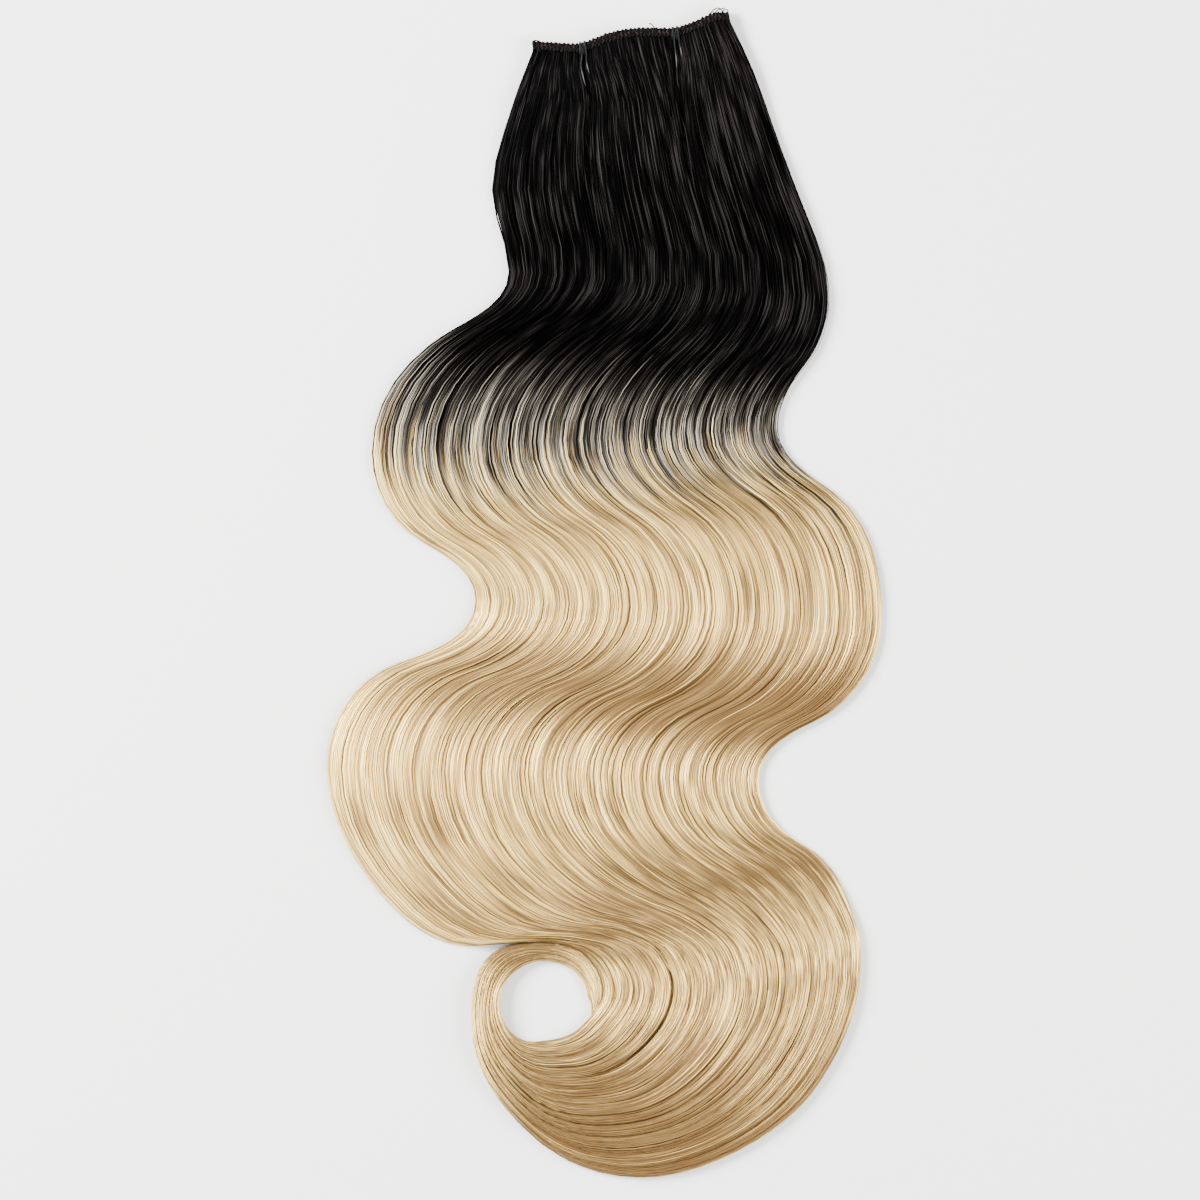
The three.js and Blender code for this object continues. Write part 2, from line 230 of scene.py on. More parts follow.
def hairPoint(across, place):
    outside = strandPoint(np.ones_like(place), place)
    width = np.linalg.norm(outside - strandPoint(np.zeros_like(place), place), axis=-1)
    left, right = (amount / width * between(place, *bendRange) for amount, bendRange in drawnIn.values())
    across = left + across * (1 - left - right)
    outer = 1 + smooth(ring["from"], ring["full"], place) * ring["reach"] / width
    across = across * outer
    across = mix(across, outer, ring["tipShare"] * smooth(ring["tipFrom"], lastBend, place))
    into = between(place, *eyeSide["bends"])
    across = across - eyeSide["reach"] * into * np.clip(1 - across / eyeSide["share"], 0, 1)
    return strandPoint(across, place)


def thickAt(place):
    first, t = bendAt(place)
    return plan["fallThickness"] * mix(bendTable[first, 6], bendTable[first + 1, 6], smooth(0, 1, t))


def thinAt(place):
    return np.minimum(1, thickAt(place) / plan["fallThickness"])


def raised(flat, height):
    return np.concatenate([flat, height[..., None]], -1)


def grooveAt(groove, place):
    phase = wander["start"] + wander["perLock"] * groove + wander["perBend"] * place
    amount = wander["amount"] * smooth(0, wander["fullAfter"], place)
    inside = (groove > 0) & (groove < plan["lockCount"])
    return (groove + np.where(inside, amount * np.sin(phase), 0)) / plan["lockCount"]


def grooveDepth(groove, place):
    extra = np.zeros(np.broadcast(groove, place).shape)
    for number, start, end, amount in partings:
        low, high = bendNumber[start], bendNumber[end]
        here = between(place, low - 1, low, high - 0.6, high)
        extra = np.maximum(extra, np.where(groove == number, amount * here, 0))
    return plan["lockRelief"] * (1 + extra)


def lockOf(across, place):
    # the lock that a share across the fall is in, and how far across that lock it is
    lock = np.clip(np.floor(across * plan["lockCount"]), 0, plan["lockCount"] - 1)
    lock = np.where(across < grooveAt(lock, place), lock - 1, lock)
    lock = np.where(across >= grooveAt(lock + 1, place), lock + 1, lock)
    lock = np.clip(lock, 0, plan["lockCount"] - 1)
    left, right = grooveAt(lock, place), grooveAt(lock + 1, place)
    return lock, np.clip((across - left) / (right - left), 0, 1)


weftFloor = plan["clipThickness"] + plan["clearance"]
clipTop = plan["clearance"] + plan["weftHeight"] - plan["clipTuck"]
clipFoot = clipTop - plan["clipBarWidth"] - plan["toothLength"]
tieAcross = {"left": gathers[0][1], "right": gathers[0][2]}


def undersideAt(point):
    left, span, _, high = weftLine()
    up = (point - left) @ high
    drapeTop = min(scallopRise(tie) * span for tie in tieAcross.values()) + clipFoot - plan["drapeStart"]
    return weftFloor * smooth(drapeTop - plan["drapeLength"], drapeTop, up)


def topHeight(across, place, point):
    # height of the hair's top over the surface it lies on
    full = thickAt(place)
    edge = np.minimum(plan["edgeThickness"], full * 0.7)
    crown = np.sqrt(np.clip(1 - np.abs(2 * across - 1) ** 4, 0, 1))
    lock, part = lockOf(across, place)
    groove = np.where(part < 0.5, lock, lock + 1)
    valley = (1 - np.sin(np.pi * part)) ** 1.4 * crown * thinAt(place)
    body = mix(edge, full, crown) - grooveDepth(groove, place) * valley
    return undersideAt(point) + np.maximum(body, edge * 0.6)


probe = np.meshgrid(np.linspace(0, 1, 60), np.linspace(0, lastBend, 700))
shiftY = hairLow.y - strandPoint(probe[0], probe[1])[..., 1].min()
print("plan laid over the frame, shifted by", round(shiftY * 1000, 3), "mm")


# painted sheen and shade: strands that run down the picture are painted lighter as if they catch the light, and
# slopes are painted duller
paintedSheen = {
    "brightTurn": 16,
    "strength": 0.56,
    "even": 0.58,
    # painted shade, darker towards the right side
    "shadeToRight": 0.2,
    # painted light along both loose edges
    "edge": 0.22,
    "edgeWidth": 0.012,
    # painted shade on the outer rim of the curl, which turns away from the light
    "rim": 0.75,
    "rimBends": (14.2, 15, 16.1, 17),
    "rimWidth": 0.016,
    "shadePlaceReach": 1.1,
}

# places painted in shade where the light misses them, or painted lighter where a value is positive: left and right
# tone
paintedShadePlaces = {
    "firstSlope": (0.28, 0.32),
    "thirdSlope": (0.36, -0.28),
    "fourthSlope": (0.42, -0.36),
    "lip": (-0.42, -0.02),
    "overEye": (-0.42, 0.04),
    "east": (0, -0.18),
    "northWest": (0.1, 0.1),
    "northEast": (0.1, 0),
    "innerEast": (0.25, 0.25),
    "tip": (0.2, 0.2),
    "south": (-0.04, 0),
    "southWest": (-0.22, -0.42),
    "west": (0.02, 0.12),
}


def paintedSheenAt(across, place):
    first, t = bendAt(place)
    place = first + t
    above, below = (mix(bendTable[row, 2], bendTable[row, 5], across) for row in (first, first + 1))
    turn = mix(above, below, t)
    tone = paintedSheen["strength"] * (np.cos(np.radians(turn - paintedSheen["brightTurn"])) ** 2 - paintedSheen["even"])
    tone = tone - paintedSheen["shadeToRight"] * across * smooth(bendNumber["firstBulge"], bendNumber["secondBulge"], place)
    for name, (left, right) in paintedShadePlaces.items():
        near = np.clip(1 - np.abs(place - bendNumber[name]) / paintedSheen["shadePlaceReach"], 0, 1)
        tone = tone + mix(left, right, np.sqrt(across)) * near
    tone = tone - paintedSheen["rim"] * between(place, *paintedSheen["rimBends"]) * np.exp(-(1 - across) / paintedSheen["rimWidth"])
    return tone + paintedSheen["edge"] * np.exp(-np.minimum(across, 1 - across) / paintedSheen["edgeWidth"])


# the camera stands straight above, and the photo is 1200 pixels wide
view = {
    "millimetresPerPixel": 0.39, "imagePixels": 1200, "middleX": 604, "middleY": 594.5,
    "height": 2.4, "sensor": 36, "clipEnd": 20,
}


def makeCamera():
    data = bpy.data.cameras.new("camera")
    width = view["imagePixels"] * view["millimetresPerPixel"] / 1000
    data.sensor_width = view["sensor"]
    data.lens = view["sensor"] * view["height"] / width
    data.clip_end = view["clipEnd"]
    camera = bpy.data.objects.new("camera", data)
    bpy.context.scene.collection.objects.link(camera)
    half = view["imagePixels"] / 2
    pixel = view["millimetresPerPixel"] / 1000
    camera.location = ((half - view["middleX"]) * pixel, (view["middleY"] - half) * pixel + shiftY, view["height"])
    bpy.context.scene.camera = camera


makeCamera()


# a shader socket that Python's own operators work on
class Wire:
    def __init__(self, paint, socket):
        self.paint = paint
        self.socket = socket

    def maths(self, operation, *values, clamp=False):
        settings = {"operation": operation, "use_clamp": clamp}
        return self.paint.node("ShaderNodeMath", settings, dict(enumerate(values)))

    def __add__(self, other):
        return self.maths("ADD", self, other)

    def __sub__(self, other):
        return self.maths("SUBTRACT", self, other)

    def __rsub__(self, other):
        return self.maths("SUBTRACT", other, self)

    def __mul__(self, other):
        return self.maths("MULTIPLY", self, other)

    def clamped(self):
        return self.maths("ADD", self, 0, clamp=True)


# one material's node tree, and the only place that adds nodes
class Paint:
    def __init__(self, name, **constants):
        self.material = bpy.data.materials.new(name)
        self.material.use_nodes = True
        self.tree = self.material.node_tree
        self.tree.nodes.clear()
        self.shader = self.tree.nodes.new("ShaderNodeBsdfPrincipled")
        output = self.tree.nodes.new("ShaderNodeOutputMaterial")
        self.tree.links.new(self.shader.outputs[0], output.inputs[0])
        for socket, value in constants.items():
            self.shader.inputs[socket.replace("_", " ")].default_value = value

    def node(self, kind, settings=None, sockets=None, output=0):
        node = self.tree.nodes.new(kind)
        for name, value in (settings or {}).items():
            if name == "stops":
                self.fillRamp(node.color_ramp, value)
            else:
                setattr(node, name, value)
        for key, value in (sockets or {}).items():
            self.feed(node.inputs[key], value)
        return Wire(self, node.outputs[output])

    def feed(self, socket, value):
        if isinstance(value, Wire):
            self.tree.links.new(value.socket, socket)
        else:
            socket.default_value = value

    def fillRamp(self, ramp, stops):
        while len(ramp.elements) < len(stops):
            ramp.elements.new(0.5)
        for element, (position, colour) in zip(ramp.elements, stops):
            element.position = position
            element.color = (*colour, 1) if len(colour) == 3 else colour

    def surface(self, **sockets):
        for name, value in sockets.items():
            self.feed(self.shader.inputs[name.replace("_", " ")], value)

    def attribute(self, name, output="Fac"):
        return self.node("ShaderNodeAttribute", {"attribute_name": name}, {}, output)

    def noise(self, vector, scale, detail, rough=0.5):
        sockets = {"Vector": vector, "Scale": scale, "Detail": detail, "Roughness": rough}
        return self.node("ShaderNodeTexNoise", {}, sockets)

    def grain(self, scale, detail, rough=0.5):
        # noise in the piece's own coordinates
        return self.noise(self.node("ShaderNodeTexCoord", output=3), scale, detail, rough)

    def stretch(self, vector, scale):
        return self.node("ShaderNodeVectorMath", {"operation": "MULTIPLY"}, {0: vector, 1: scale})

    def blendColours(self, factor, first, second):
        settings = {"data_type": "RGBA", "clamp_factor": True}
        colours = [value if isinstance(value, Wire) else (*value, 1) for value in (first, second)]
        return self.node("ShaderNodeMix", settings, {0: factor, 6: colours[0], 7: colours[1]}, 2)

    def ramp(self, value, stops):
        return self.node("ShaderNodeValToRGB", {"stops": stops}, {0: value})

    def bump(self, height, strength, distance):
        return self.node("ShaderNodeBump", {}, {"Strength": strength, "Distance": distance, "Height": height})


# colours are linear light, and each ramp runs from a dull strand to a bright one; the tone that picks the colour
# holds painted sheen and shade as well as each strand's own tone
hairColours = {
    "root": [(0, (0.0002, 0.00016, 0.00016)), (0.45, (0.0006, 0.0005, 0.0005)), (0.75, (0.0034, 0.003, 0.0028)),
             (1, (0.0155, 0.0138, 0.0132))],
    "ash": [(0, (0.008, 0.0066, 0.0056)), (0.35, (0.03, 0.0255, 0.021)), (0.65, (0.1, 0.088, 0.07)),
            (1, (0.3, 0.27, 0.215))],
    "blonde": [(0, (0.145, 0.08, 0.029)), (0.2, (0.225, 0.143, 0.052)), (0.45, (0.43, 0.283, 0.1)),
               (0.7, (0.72, 0.46, 0.128)), (1, (1.0, 0.76, 0.275))],
    # painted shade colours that the shade attribute mixes in, for the roots and the blonde
    "rootGapShade": (0.0006, 0.0005, 0.0005),
    "gapShade": (0.13, 0.07, 0.022),
    # how dark the painted shade lines between hairs are, and what makes the tones of the roots
    "shadeLines": 0.6,
    "shadeLinesFrom": 0.6,
    "shadeLinesSharp": 7,
    "rootTone": 0.43,
    "rootStreak": 2.7,
    "rootGlint": 2.2,
    "rootStrand": 0.9,
    "rootMiddle": 0.72,
    "roughness": 0.34,
    "roughStreak": 0.12,
    "metallic": 0.4,
    # how strong the streaks are on a dull strand, how tone and the change of colour add to them
    "streakBase": 0.3,
    "streakTone": 1.5,
    "streakChange": 0.6,
    "streakBed": 1.5,
    "streakStrand": 1.9,
    "drift": 0.2,
    # how far single hairs change colour before or after their neighbours
    "early": 2.2,
    "earlyGlint": 1.3,
}

# noises drawn out along the hair: scale across, along and from lock to lock, and detail
hairGrain = {
    "streak": ((230, 1.1, 1), 1.0),
    "drift": ((46, 1.3, 1), 2.0),
    # fine streaks along single hairs, partly painted highlights and partly their own tone; the same noise also
    # shifts where single hairs change colour
    "glint": ((400, 2, 1), 1.0),
    "shadeLines": ((210, 1.1, 3), 2.0),
    "early": ((220, 0.22, 1), 1.0),
}

# noise, strength and distance
hairBumps = {"bed": ("streak", 0.7, 0.0005), "strand": ("drift", 0.15, 0.0002)}


def hairMaterial(name, bed):
    look = hairColours
    paint = Paint(name, IOR=1.5, Specular_IOR_Level=0.006)
    flow = paint.attribute("flow", "Vector")
    tone = paint.attribute("tone")
    blondeShare = paint.attribute("fade")
    shade = paint.attribute("shade")
    grain = {
        key: paint.noise(paint.stretch(flow, scale), 1.0, detail) - 0.5
        for key, (scale, detail) in hairGrain.items()
    }
    # painted shade in thin dark lines between hairs
    shadeLines = (grain["shadeLines"] + (0.5 - look["shadeLinesFrom"])) * look["shadeLinesSharp"]
    # dull hair has softer streaks, and hair that changes colour stronger ones
    change = blondeShare * (1 - blondeShare) * 4
    amount = tone * look["streakTone"] + look["streakBase"] + change * look["streakChange"]
    amount = amount * look["streakBed" if bed else "streakStrand"]
    mixed = tone + grain["streak"] * amount + grain["drift"] * look["drift"] + grain["glint"]
    mixed = (mixed - shadeLines.clamped() * look["shadeLines"]).clamped()
    rootTone = (tone - look["rootMiddle"]) * look["rootStrand"] + look["rootTone"]
    rootTone = rootTone + grain["streak"] * look["rootStreak"] + grain["glint"] * look["rootGlint"]
    early = grain["early"] * look["early"] + grain["glint"] * look["earlyGlint"]
    faded = (blondeShare + early * change).clamped()
    root = paint.ramp(rootTone.clamped(), look["root"])
    ash = paint.ramp(mixed, look["ash"])
    blonde = paint.ramp(mixed, look["blonde"])
    late = (faded * 2 - 1).clamped()
    colour = paint.blendColours((faded * 2).clamped(), root, ash)
    colour = paint.blendColours(late, colour, blonde)
    # painted shade where the shade attribute is low
    gapShadeColour = paint.blendColours(late, look["rootGapShade"], look["gapShade"])
    colour = paint.blendColours(shade, gapShadeColour, colour)
    rough = grain["streak"] * look["roughStreak"] + look["roughness"]
    paint.surface(Base_Color=colour, Roughness=rough, Metallic=faded * look["metallic"])
    relief, strength, distance = hairBumps["bed" if bed else "strand"]
    paint.surface(Normal=paint.bump(grain[relief], strength, distance))
    return paint.material


def newObject(name, mesh, material):
    piece = bpy.data.objects.new(name, mesh)
    bpy.context.scene.collection.objects.link(piece)
    mesh.materials.append(material)
    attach(piece, "root")
    return piece


def ringQuads(index):
    # quads between closed rings of points that follow each other
    turned = np.roll(index, -1, -1)
    rings = [index[..., :-1, :], index[..., 1:, :], turned[..., 1:, :], turned[..., :-1, :]]
    return np.stack(rings, -1).reshape(-1, 4)


def meshFrom(name, points, groups, attributes=None, bakeMap=None):
    # each group is an array of faces with the same number of corners
    mesh = bpy.data.meshes.new(name)
    corners = np.concatenate([group.ravel() for group in groups]).astype(np.int32)
    sizes = np.concatenate([np.full(len(group), group.shape[1]) for group in groups])
    starts = np.concatenate([[0], np.cumsum(sizes)[:-1]]).astype(np.int32)
    mesh.vertices.add(len(points))
    mesh.vertices.foreach_set("co", points.astype(np.float32).ravel())
    mesh.loops.add(len(corners))
    mesh.loops.foreach_set("vertex_index", corners)
    mesh.polygons.add(len(sizes))
    mesh.polygons.foreach_set("loop_start", starts)
    mesh.update(calc_edges=True)
    for key, values in (attributes or {}).items():
        kind, field = ("FLOAT_VECTOR", "vector") if values.ndim == 2 else ("FLOAT", "value")
        layer = mesh.attributes.new(key, kind, "POINT")
        layer.data.foreach_set(field, values.astype(np.float32).ravel())
    if bakeMap is not None:
        layer = mesh.uv_layers.new(name="OFBake")
        layer.data.foreach_set("uv", bakeMap.astype(np.float32).ravel())
    mesh.validate()
    mesh.shade_smooth()
    return mesh


# where the colour changes, in bends, and over how many bends to either side
fade = {"left": 5.08, "right": 5.5, "halfLeft": 0.76, "halfRight": 1.32, "edge": 0.3, "edgeWidth": 0.03}


def fadeAt(across, place, offset, longer=1.0):
    # 0 is the black root and 1 the blonde, which starts earlier at the left edge
    centre = mix(fade["left"], fade["right"], across) + offset
    centre = centre - fade["edge"] * np.exp(-across / fade["edgeWidth"])
    half = mix(fade["halfLeft"], fade["halfRight"], across) * longer
    return smooth(centre - half, centre + half, place)


# the bed: one closed body of fine locks that the loose strands lie on
bed = {
    "columns": 220,
    "stepsPerBend": 9,
    "undersideColumns": 20,
    "ridges": 88,
    "ridgeHeight": 0.00022,
    "sink": 0.0005,
    "lastPlace": 22.6,
    "clumpsPerLock": 6,
    # middle, and spread between clumps
    "tone": (0.42, 0.05),
    "later": (0.05, 0.02),
    "longer": 1.1,
}


def makeBed(material):
    places = np.linspace(0, bed["lastPlace"], lastBend * bed["stepsPerBend"] + 1)
    across = np.linspace(0, 1, bed["columns"] + 1)
    acrossGrid, placeGrid = np.meshgrid(across, places)
    flat = hairPoint(acrossGrid, placeGrid)
    ridgePhase = acrossGrid * bed["ridges"] + 0.5 * np.sin(placeGrid * 0.7 + acrossGrid * 23)
    ridge = np.abs(np.sin(np.pi * ridgePhase)) - 0.6
    edgeFade = np.clip((0.5 - np.abs(acrossGrid - 0.5)) * 30, 0, 1)
    height = topHeight(acrossGrid, placeGrid, flat) - bed["sink"] * edgeFade
    height = height + ridge * bed["ridgeHeight"] * edgeFade * thinAt(placeGrid)
    under = np.linspace(1, 0, bed["undersideColumns"] + 1)
    underGrid, underPlace = np.meshgrid(under, places)
    below = hairPoint(underGrid, underPlace)
    rings = np.concatenate([raised(flat, height), raised(below, undersideAt(below))], 1)
    rows, count = rings.shape[:2]
    index = np.arange(rows * count).reshape(rows, count)
    step = bed["columns"] // bed["undersideColumns"]
    caps = []
    for column in range(bed["columns"]):
        lower = count - 1 - column // step
        caps.append((column, column + 1, lower))
        if (column + 1) % step == 0:
            caps.append((column + 1, lower - 1, lower))
    caps = np.array(caps)
    endCaps = caps[:, ::-1] + index[-1, 0]
    allAcross = np.concatenate([acrossGrid, underGrid], 1)
    allPlace = np.concatenate([placeGrid, underPlace], 1)
    lock, part = lockOf(allAcross, allPlace)
    tone, later = bed["tone"], bed["later"]
    clumps = plan["lockCount"] * bed["clumpsPerLock"]
    clump = rng.normal(0, 1, clumps)[(allAcross * (clumps - 1)).astype(int)]
    attributes = {
        "flow": np.stack([allAcross, allPlace, lock], -1).reshape(-1, 3),
        "fade": fadeAt(allAcross, allPlace, later[0] + later[1] * clump, bed["longer"]).ravel(),
        # the tone holds painted sheen and shade as well as the clumps' own tone
        "tone": np.clip(tone[0] + tone[1] * clump + paintedSheenAt(allAcross, allPlace), 0, 1).ravel(),
        # painted shade, darker in the grooves between locks
        "shade": np.clip(0.55 + 0.4 * np.sin(np.pi * part) ** 0.5, 0, 1).ravel(),
    }
    mesh = meshFrom("hair_bed", rings.reshape(-1, 3), [ringQuads(index), caps, endCaps], attributes)
    piece = newObject("hair_bed", mesh, material)
    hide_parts("hair_fall")
    print("bed made:", len(mesh.polygons), "faces")


# loose strands, laid in clumps over the bed
strands = {
    "total": 1300,
    "clumps": 66,
    "halfWidth": 0.00025,
    "tipHalfWidth": 0.00008,
    "tuck": 0.0007,
    "turnPerStep": 10.8,
    "shared": 12,  # up to this bend all strands have their steps side by side
    "earlyEnd": 14.5,  # half of them end between these two bends, and the others later
    "lateEnd": 20.5,
    "diveUntil": 19.5,
    "panels": {"left": (0, 0.273), "middle": (0.273, 0.636), "right": (0.636, 1)},
    # share of the strands, lift, painted brightness (the under layer is painted in shade), width, and how much
    # later they change colour
    "layers": {"under": (0.5, -0.0003, 0.74, 1.1, 0.26), "over": (0.5, 0.00015, 1.0, 0.85, -0.08)},
    # a strand is flat: aside and up, as shares of its half width
    "section": [(0, 0.34), (-1, -0.2), (1, -0.2)],
    "streakWidth": 0.1,
    # how much less the clumps gather where the colour changes, and over how many bends
    "looser": 0.6,
    "looserReach": 1.4,
    # play across the fall, in shares of its width
    "past": 0.004,
    "pullWave": 0.14,
    "drift": 0.0045,
    "driftRate": 0.45,
    "sway": (0.004, 0.3, 1.2),
    # play in height, in metres
    "crown": 0.00016,
    "swell": (0.00013, 0.3, 1.1),
    "spread": 0.00018,
    "dive": 0.0012,
    "settled": (0.3, 2),
    # widths, as shares
    "widths": (0.45, 1.2),
    "rootWidth": 0.75,
    "ringWidth": 0.62,
    "ringFrom": 14,
    "ringFull": 20,
    # tone: middle, painted shade of the under layer, spread between clumps and between strands
    "tone": 0.53,
    "layerShadeTone": 0.3,
    "toneClump": 0.03,
    "toneSpread": 0.15,
    "laterClump": 0.015,
    "laterSpread": 0.14,
}


def placeSteps():
    # more steps where the hair turns hard
    steps = [np.array([-0.03])]
    for number in range(lastBend):
        turn = np.abs(bendTable[number + 1, [2, 5]] - bendTable[number, [2, 5]]).max()
        count = max(3, round(turn / strands["turnPerStep"]))
        steps.append(number + np.arange(count) / count)
    return np.concatenate(steps + [np.array([lastBend])])


def waves(count, places, amplitude, slow, fast):
    # smooth random drift along each of count strands
    total = np.zeros((count, places.shape[-1]))
    for _ in range(3):
        rate = rng.uniform(slow, fast, (count, 1))
        phase = rng.uniform(0, 2 * np.pi, (count, 1))
        total += np.sin(places * rate + phase)
    return total * amplitude / 1.7


def roundSection(sides):
    angle = np.pi / 2 + np.arange(sides) * 2 * np.pi / sides
    return np.stack([np.cos(angle), np.sin(angle)], -1)


def tubes(name, paths, radii, material, slot, attributes=None, section=None, sides=6, sideways=None):
    # joins closed tubes along the given paths into one piece
    flat = section is not None
    section = np.array(section) if flat else roundSection(sides)
    sides = len(section)
    count, length = paths.shape[:2]
    forward = np.gradient(paths, axis=1)
    forward /= np.linalg.norm(forward, axis=-1, keepdims=True)
    if sideways is None:
        side = np.cross(forward, np.array([0, 0, 1.0]))
    else:
        side = sideways - (forward @ sideways)[..., None] * forward
    side /= np.linalg.norm(side, axis=-1, keepdims=True)
    high = np.cross(side, forward)
    outline = section[:, :1] * side[:, :, None, :] + section[:, 1:] * high[:, :, None, :]
    points = paths[:, :, None, :] + outline * radii[:, :, None, None]
    index = np.arange(count * length * sides).reshape(count, length, sides)
    quads = ringQuads(index)
    caps = np.concatenate([index[:, 0, :], index[:, -1, ::-1]])
    spread = {}
    for key, values in (attributes or {}).items():
        values = np.repeat(values.reshape(count * length, -1), sides, 0)
        spread[key] = values if values.shape[1] == 3 else values[:, 0]
    if flat:
        # streaks also differ from one side of a strand to the other
        spread["flow"][:, 0] += (section[:, 0] * radii[..., None]).ravel() / strands["streakWidth"]
    mesh = meshFrom(name, points.reshape(-1, 3), [quads, caps], spread, stripeMap(count, length, sides))
    if flat:
        # the flat underside keeps the shading of the top soft
        smoothFaces = np.ones(len(mesh.polygons), bool)
        smoothFaces[:len(quads)] = np.tile(np.arange(sides) != 1, len(quads) // sides)
        mesh.polygons.foreach_set("use_smooth", smoothFaces)
    return newObject(name, mesh, material)


def stripeMap(count, length, sides):
    # one upright stripe of the bake map for each strand
    strand, row, side = np.ogrid[:count, :length - 1, :sides]
    width = 1 / count
    left, right = ((strand + 0.1 + 0.8 * (side + step) / sides) * width + 0 * row for step in (0, 1))
    low, high = (0.01 + 0.98 * (row + step) / (length - 1) + 0 * (strand + side) for step in (0, 1))
    quads = np.stack([left, low, left, high, right, high, right, low], -1).reshape(-1, 2)
    caps = []
    for level in (0.005, 0.995):
        x = (np.arange(count)[:, None] + np.linspace(0.1, 0.9, sides)) * width
        caps.append(np.stack([x, np.full_like(x, level)], -1).reshape(-1, 2))
    return np.concatenate([quads] + caps)


def uneven(count):
    # random values whose neighbours differ, so that they form no wide bands
    values = rng.normal(0, 1, count)
    return values - np.convolve(values, np.ones(7) / 7, "same")


def strandPlaces(low, high, count):
    # where strands start across the fall, the bends where they end, and the steps down each of them
    start = np.sort(rng.uniform(low, high, count))
    early, late, shared = strands["earlyEnd"], strands["lateEnd"], strands["shared"]
    ends = np.where(rng.random(count) < 0.5, rng.uniform(late, lastBend, count), rng.uniform(early, late, count))
    steps = placeSteps()
    stretched = shared + (steps - shared) * ((ends - shared) / (lastBend - shared))[:, None]
    return start, ends, np.where(steps < shared, steps, stretched)


def makeStrands(name, low, high, count, layer, material, clumpTone):
    _, lift, bright, broad, later = layer
    start, ends, places = strandPlaces(low, high, count)
    order = np.clip(np.searchsorted(clumpTone["edges"], start) - 1, 0, strands["clumps"] - 1)
    left, right = clumpTone["edges"][order], clumpTone["edges"][order + 1]
    centre = (left + right) / 2
    pull, rate, phase = (clumpTone[key][order][:, None] for key in ("pull", "rate", "phase"))
    pull = pull + strands["pullWave"] * np.sin(places * rate + phase)
    pull = pull * (1 - strands["looser"] * np.exp(-((places - fade["left"]) / strands["looserReach"]) ** 2))
    settled = smooth(*strands["settled"], places)
    drift = np.sin(places * strands["driftRate"] + phase * 3) * strands["drift"]
    across = start[:, None] + (centre - start)[:, None] * pull * settled
    across = across + (drift + waves(count, places, *strands["sway"])) * settled
    across = partAround(across + leaning(start, places), places)
    across = np.clip(across, -strands["past"], 1 + strands["past"])
    inside = np.clip(across, 0, 1)
    point = hairPoint(across, places)
    within = 1 - np.abs((start - centre) / (right - left) * 2)[:, None] ** 2
    level = lift + within * strands["crown"] * thinAt(places) + waves(count, places, *strands["swell"])
    level = level + rng.normal(0, strands["spread"], count)[:, None]
    height = topHeight(inside, places, point) + level * settled - (1 - settled) * 0.0003
    ones = np.ones_like(places)
    radii = strands["halfWidth"] * broad * rng.uniform(*strands["widths"], count)[:, None] * ones
    narrower = mix(1, strands["ringWidth"], smooth(strands["ringFrom"], strands["ringFull"], places))
    radii = radii * mix(strands["rootWidth"], 1, smooth(0, 1.5, places)) * narrower
    tail = smooth(0.93, 1, (places / ends[:, None]))
    radii = mix(radii, strands["tipHalfWidth"], tail)
    dive = smooth(0.9, 1, places / ends[:, None]) * (ends < strands["diveUntil"])[:, None] * strands["dive"]
    height = np.maximum(height - dive, undersideAt(point) + radii * 0.5)
    paths = raised(point, height)
    # the first step reaches up over the band, where the lowest stitches hold it
    tuck = strands["tuck"] * rng.uniform(0.75, 1.15, count)
    paths[:, 0, :2] += weftLine()[3] * tuck[:, None]
    paths[:, 0, 2] = weftFloor + plan["weftThickness"] - 0.0001
    paths[:, 1, 2] = weftFloor + plan["weftThickness"] + rng.uniform(-0.0002, 0.0002, count)
    # the under layer is painted darker, as painted shade beneath the over layer
    tone = strands["tone"] + (bright - 1) * strands["layerShadeTone"]
    varied = strands["toneClump"] * clumpTone["tone"][order] + strands["toneSpread"] * uneven(count)
    offset = later + strands["laterClump"] * clumpTone["fade"][order] + strands["laterSpread"] * uneven(count)
    # painted sheen and shade, added to the strands' tone below
    light = paintedSheenAt(inside, places)
    attributes = {
        "flow": np.stack([start[:, None] * ones, places, order[:, None] * ones], -1),
        "fade": fadeAt(inside, places, offset[:, None]),
        "tone": np.clip(tone + light + varied[:, None] * np.clip(1 + light, 0.35, 1.2), 0.02, 1),
        # painted shade: the under layer and the edges of each clump mix towards the gap shade colour
        "shade": np.clip(bright + 0.08 * within, 0, 1) * ones,
    }
    piece = tubes(name, paths, radii, material, "hair", attributes, strands["section"])
    print(name, "made:", count, "strands,", len(piece.data.polygons) * 2, "triangles")


# strands of the middle panel slant to the right tie
lean = {"amount": 0.05, "until": 1.5, "full": 0.46, "high": 0.6}


def leaning(start, places):
    share = between(start, homes[0], lean["full"], lean["high"], homes[1])
    return -lean["amount"] * share[:, None] * (1 - smooth(-0.1, lean["until"], places))


def partAround(across, places):
    # pushes strands aside where the hair parts
    for number, start, end, amount in partings:
        low, high = bendNumber[start], bendNumber[end]
        here = between(places, low - 1, low, high - 0.6, high + 0.4)
        away = across - grooveAt(np.float64(number), places)
        push = np.sign(away) * partingPush[start] * here * np.exp(-np.abs(away) / partingPush["reach"])
        across = across + push
    return across


stray = {
    "edge": 46,
    "inside": 40,
    "radius": 0.00011,
    "steps": 30,
    "length": (1.6, 4.5),
    "edgeFrom": (0.4, 18),
    "insideFrom": (1.5, 16),
    "lastPlace": 20,
    "bulge": (0.004, 0.016),
    # heights in metres at the ends and in the middle of a strand
    "over": (0.0005, 0.0009),
    "beside": (0.0012, 0.0006),
}


